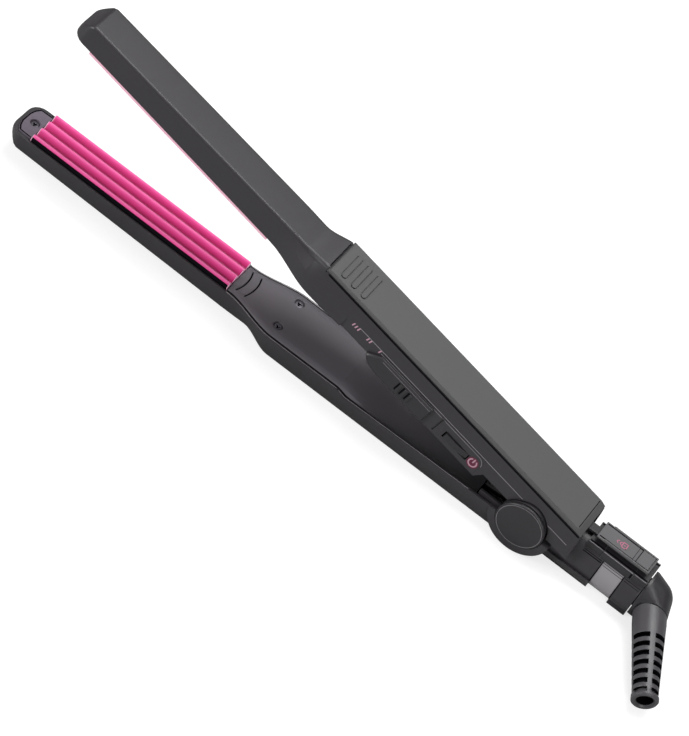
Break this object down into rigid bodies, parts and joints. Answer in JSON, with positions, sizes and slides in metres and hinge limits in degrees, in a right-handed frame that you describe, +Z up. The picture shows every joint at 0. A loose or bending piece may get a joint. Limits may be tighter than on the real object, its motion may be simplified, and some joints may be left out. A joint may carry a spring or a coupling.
{
  "type": "hair crimper",
  "caption": "Corded hair crimper with narrow corrugated plates on two spring-opened arms, a sliding heat control, a power rocker, an arm lock and a swivelling cord exit.",
  "frame": {"origin": "on the flat resting face of the lower handle, straight below the hinge axis", "axes": "+X from the hinge towards the tips, +Y towards the side with the controls, +Z up from the resting face"},
  "size_m": [0.3037, 0.0546, 0.0752],
  "materials": {
    "shell_plastic": "fine satin moulding, near black charcoal",
    "grip_plastic": "soft-touch dark grey",
    "plate_coating": "smooth pink ceramic-filled coating on aluminium",
    "cap_plastic": "fine satin moulding",
    "trim_plastic": "satin grey moulding",
    "heater_ceramic": "bare ceramic",
    "inner_plastic": "heat-resistant moulding",
    "steel": "plain steel",
    "contact_brass": "plain brass",
    "wire_sleeve": "woven glass sleeve, dyed black",
    "board": "lacquered circuit board",
    "button_plastic": "satin moulding",
    "relief_rubber": "matt flexible moulding"
  },
  "bodies": {
    "lower_arm": {"lower_shell": "shell_plastic", "lower_inner_cover": "shell_plastic", "lower_tip_cap": "trim_plastic", "lower_plate": "plate_coating", "lower_heater": "heater_ceramic", "lower_heater_carrier": "inner_plastic", "lower_screws": "steel", "lower_lead_wires": "wire_sleeve", "hinge_pin": "steel", "near_hinge_cap": "cap_plastic", "far_hinge_cap": "cap_plastic", "hinge_spring": "steel", "neck_tube": "shell_plastic", "lock_ring": "trim_plastic", "end_ring": "shell_plastic", "lock_rail": "shell_plastic", "contact_block": "inner_plastic", "contact_springs": "contact_brass"},
    "upper_arm": {"upper_shell": "shell_plastic", "grip_cover": "grip_plastic", "upper_inner_cover": "shell_plastic", "upper_tip_cap": "trim_plastic", "upper_plate": "plate_coating", "upper_heater": "heater_ceramic", "upper_heater_carrier": "inner_plastic", "upper_screws": "steel", "upper_lead_wires": "wire_sleeve", "lock_catch": "steel", "control_panel": "shell_plastic", "control_board": "board", "slide_switch": "inner_plastic", "rocker_switch": "inner_plastic"},
    "heat_control": {"heat_slider": "button_plastic"},
    "power_switch": {"power_rocker": "button_plastic"},
    "arm_lock": {"lock_slider": "trim_plastic"},
    "cord_swivel": {"swivel_elbow": "shell_plastic", "swivel_contacts": "contact_brass", "strain_relief": "relief_rubber"}
  },
  "joints": [
    {"name": "arm_hinge", "type": "hinge", "parent": "lower_arm", "child": "upper_arm", "pos_m": [0, 0, 0.0127], "axis": [0, 1, 0], "range_deg": [0, 13.4], "stiffness_Nm_per_rad": 0.5, "springref_deg": -17.19},
    {"name": "heat_slide", "type": "slide", "parent": "upper_arm", "child": "heat_control", "axis": [0.9728, 0, 0.2317], "range_m": [0, 0.012]},
    {"name": "power_rock", "type": "hinge", "parent": "upper_arm", "child": "power_switch", "pos_m": [0.03396, 0.01112, 0.02377], "axis": [0.2296, 0.1366, -0.9637], "range_deg": [0, 12]},
    {"name": "lock_slide", "type": "slide", "parent": "lower_arm", "child": "arm_lock", "axis": [1, 0, 0], "range_m": [0, 0.0036]},
    {"name": "cord_turn", "type": "hinge", "parent": "lower_arm", "child": "cord_swivel", "pos_m": [-0.0475, 0, 0.0095], "axis": [1, 0, 0], "continuous": true}
  ]
}
